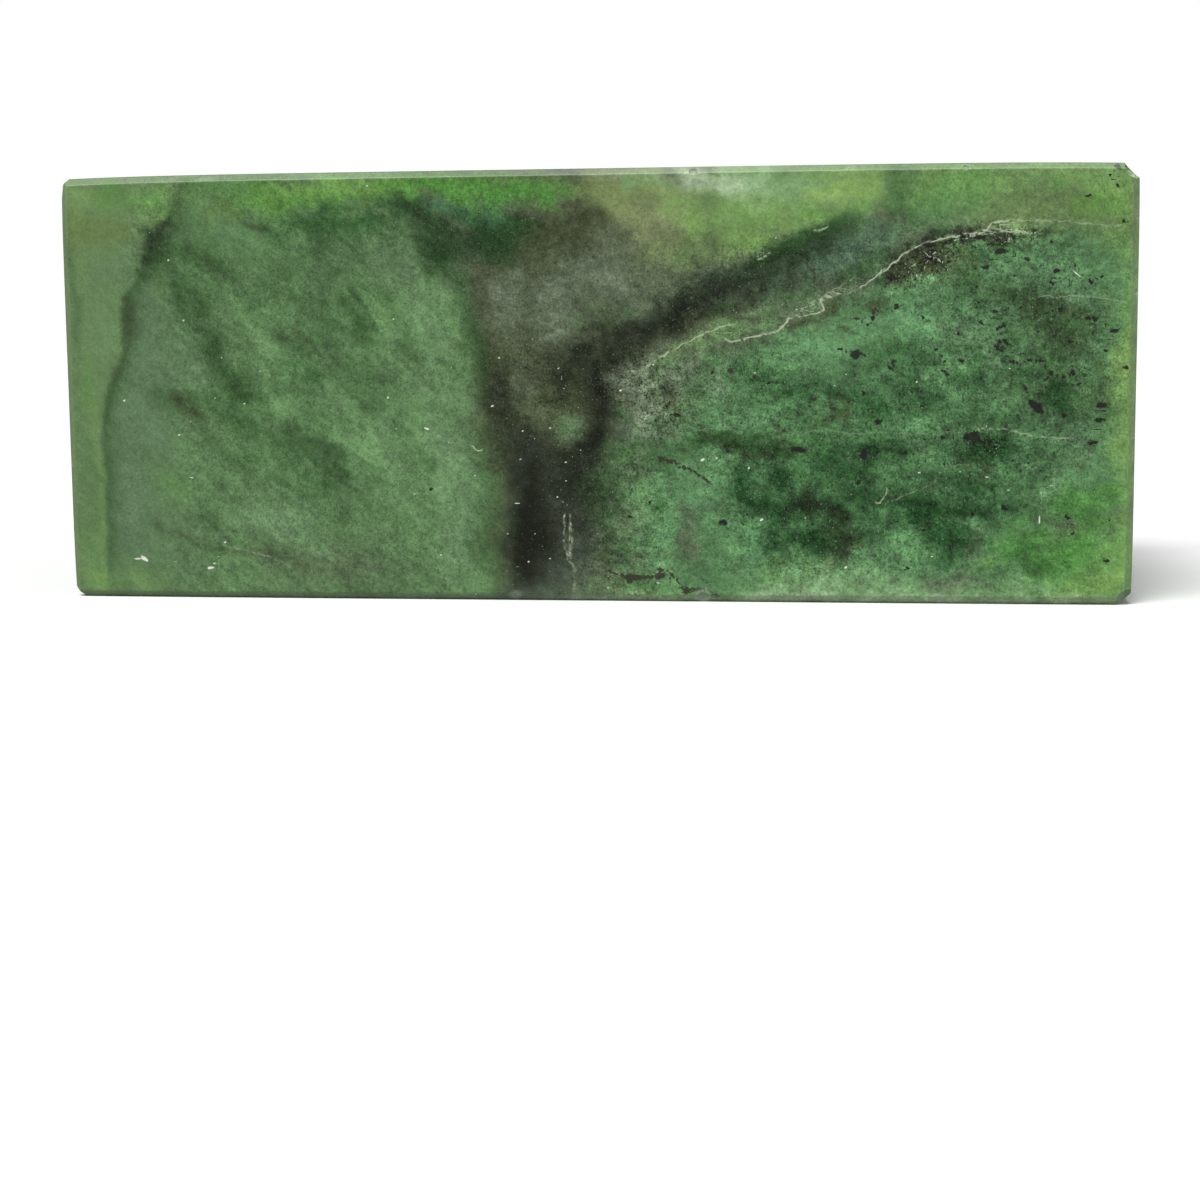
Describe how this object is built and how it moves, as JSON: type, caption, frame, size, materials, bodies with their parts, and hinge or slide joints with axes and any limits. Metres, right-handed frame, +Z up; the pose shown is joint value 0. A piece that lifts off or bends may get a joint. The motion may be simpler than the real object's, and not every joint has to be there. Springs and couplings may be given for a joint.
{
  "type": "sawn jade block",
  "caption": "Solid rectangular block of mottled green nephrite jade, sawn from a raw boulder, with polished flat faces, ground edges and small edge chips; stands on its flat base.",
  "frame": {"origin": "on the flat face that the block rests on, under the middle of its bounding box", "axes": "+X along the length, to the right seen from the front; +Y from the front face to the back; +Z up out of the top face"},
  "size_m": [0.1504, 0.0664, 0.06],
  "materials": {
    "nephrite": "polished"
  },
  "bodies": {
    "root": {"jade_block": "nephrite"}
  },
  "joints": []
}
